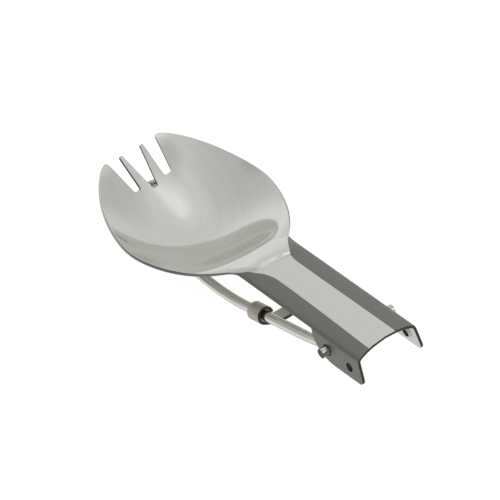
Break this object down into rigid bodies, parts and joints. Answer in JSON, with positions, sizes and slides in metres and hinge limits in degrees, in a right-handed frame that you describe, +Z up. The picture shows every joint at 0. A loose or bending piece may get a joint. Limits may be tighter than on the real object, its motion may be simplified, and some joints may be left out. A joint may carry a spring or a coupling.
{
  "type": "folding spork",
  "caption": "Titanium folding spork: a deep bowl with short tines on an arched stub, a wire loop handle that folds under the bowl, and a sliding lock.",
  "frame": {"origin": "middle of the bounding box's underside, on the table that the folded spork lies on", "axes": "+X from the stub's open end toward the tines, +Y to the left side, +Z up, out of the bowl"},
  "size_m": [0.0994, 0.0404, 0.0199],
  "materials": {
    "head_titanium": "titanium, polished bowl and strip, bead-blasted grey sides",
    "wire_titanium": "drawn titanium wire, satin",
    "slider_titanium": "titanium strip, satin, dark cut edges"
  },
  "bodies": {
    "head": {"spork_head": "head_titanium"},
    "handle": {"wire_handle": "wire_titanium"},
    "slider": {"lock_slider": "slider_titanium"}
  },
  "joints": [
    {"name": "handle_fold", "type": "hinge", "parent": "head", "child": "handle", "pos_m": [-0.03686, 0, 0.01393], "axis": [0, 1, 0], "range_deg": [0, 168]},
    {"name": "slider_slide", "type": "slide", "parent": "handle", "child": "slider", "axis": [-0.9709, 0, 0.2396], "range_m": [-0.007, 0.016]}
  ]
}
